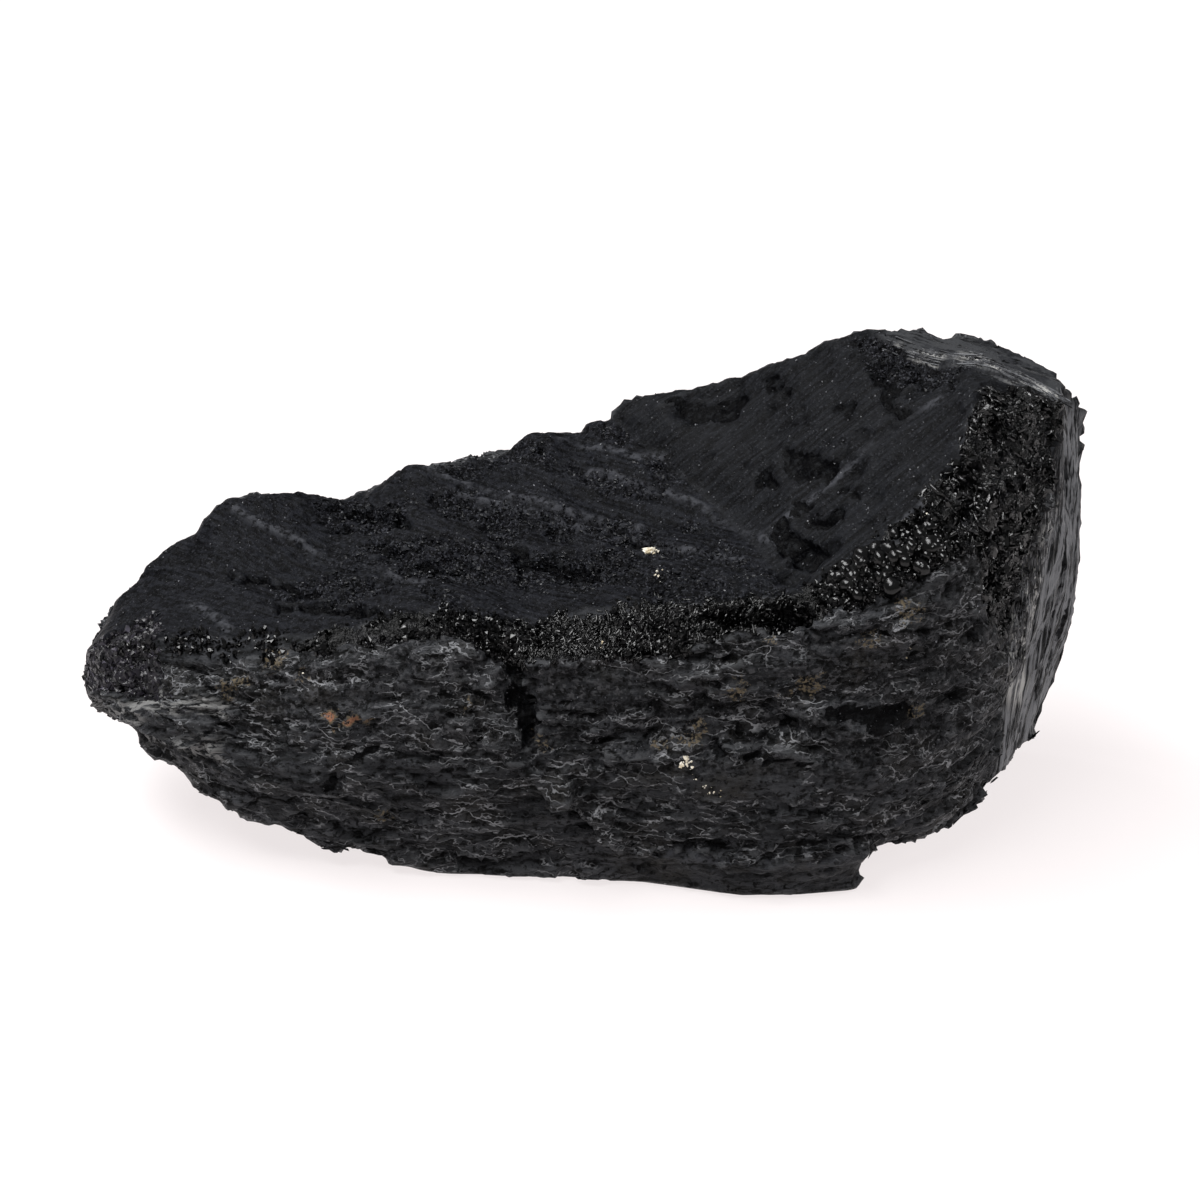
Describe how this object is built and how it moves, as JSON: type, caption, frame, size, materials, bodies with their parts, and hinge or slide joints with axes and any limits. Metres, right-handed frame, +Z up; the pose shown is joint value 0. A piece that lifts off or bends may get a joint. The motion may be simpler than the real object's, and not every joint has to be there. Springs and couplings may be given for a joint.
{
  "type": "tourmaline crystal",
  "caption": "Rough broken lump of black tourmaline with a satin top, a grainy ridge, a flaky front and a flat foot it rests on.",
  "frame": {"origin": "bottom centre of the lump's box, on the surface it rests on", "axes": "+X runs from the narrow left end to the high right end, +Y from the flaky front to the back, +Z up"},
  "size_m": [0.1226, 0.0601, 0.0584],
  "materials": {
    "black_tourmaline": "satin"
  },
  "bodies": {
    "root": {"tourmaline": "black_tourmaline"}
  },
  "joints": []
}
